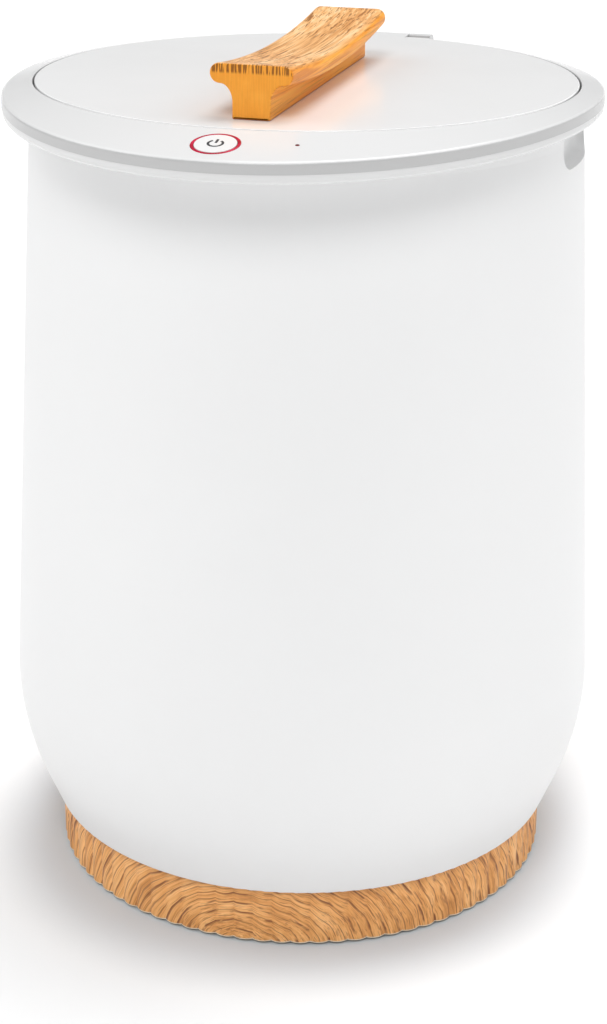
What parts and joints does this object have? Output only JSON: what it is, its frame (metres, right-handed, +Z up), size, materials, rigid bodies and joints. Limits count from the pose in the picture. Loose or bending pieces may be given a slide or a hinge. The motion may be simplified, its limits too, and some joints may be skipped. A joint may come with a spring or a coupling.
{
  "type": "towel warmer",
  "caption": "White barrel-shaped bucket towel warmer with a hinged round lid, a wooden T handle, a lit power button in its rim and a reeded wood-effect base.",
  "frame": {"origin": "middle of the whole footprint, 8 mm in front of the barrel's axis, on the plane the feet stand on", "axes": "+Z up through the barrel, -Y towards the front with the power button, +Y towards the lid's hinge and the cord gland, +X to the user's right"},
  "size_m": [0.3112, 0.3271, 0.4467],
  "materials": {
    "white_plastic": "glossy white moulding",
    "reeded_wood": "satin wood-grain film on reeds",
    "handle_wood": "oiled orange-tan wood",
    "black_plastic": "fine matte texture",
    "rubber": "matte",
    "gland_rubber": "matte off-white",
    "seal_rubber": "soft grey silicone",
    "zinc_steel": "bright zinc",
    "bucket_metal": "satin drawn aluminium",
    "heater_film": "amber coated cloth",
    "felt": "needled felt",
    "foam": "open foam",
    "switch_plastic": "matte black",
    "component_plastic": "matte blue",
    "core_steel": "varnished laminations",
    "board": "green solder mask",
    "led": "pale diffuser",
    "red_guide": "translucent red"
  },
  "bodies": {
    "housing": {"base_ring": "reeded_wood", "base_plate": "black_plastic", "rubber_feet": "rubber", "base_screws": "zinc_steel", "cord_gland": "gland_rubber", "body_shell": "white_plastic", "shell_screws": "zinc_steel", "inner_bucket": "bucket_metal", "side_heater": "heater_film", "side_insulation": "felt", "floor_heater": "heater_film", "floor_insulation": "felt", "clamp_plate": "zinc_steel", "clamp_nuts": "zinc_steel", "thermostat": "switch_plastic", "thermal_fuse": "zinc_steel", "rim_ring": "white_plastic", "rim_tray": "white_plastic", "rim_screws": "zinc_steel", "rim_seal": "seal_rubber", "hinge_pin": "zinc_steel", "light_ring": "red_guide", "tact_switch": "switch_plastic", "control_board": "board", "status_leds": "led", "indicator_lens": "red_guide", "power_board": "board", "board_screws": "zinc_steel", "relay": "component_plastic", "transformer": "core_steel", "capacitor": "switch_plastic", "terminal_block": "component_plastic"},
    "lid": {"lid_top": "white_plastic", "lid_liner": "bucket_metal", "lid_insulation": "foam", "lid_seal": "seal_rubber", "liner_screws": "zinc_steel", "handle": "handle_wood", "handle_screws": "zinc_steel"},
    "button": {"power_button": "white_plastic", "switch_plunger": "switch_plastic"}
  },
  "joints": [
    {"name": "lid_hinge", "type": "hinge", "parent": "housing", "child": "lid", "pos_m": [0, 0.1575, 0.4162], "axis": [-1, 0, 0], "range_deg": [0, 95]},
    {"name": "button_press", "type": "slide", "parent": "housing", "child": "button", "axis": [0, 0.1994, -0.9799], "range_m": [0, 0.0005], "stiffness_N_per_m": 800}
  ]
}
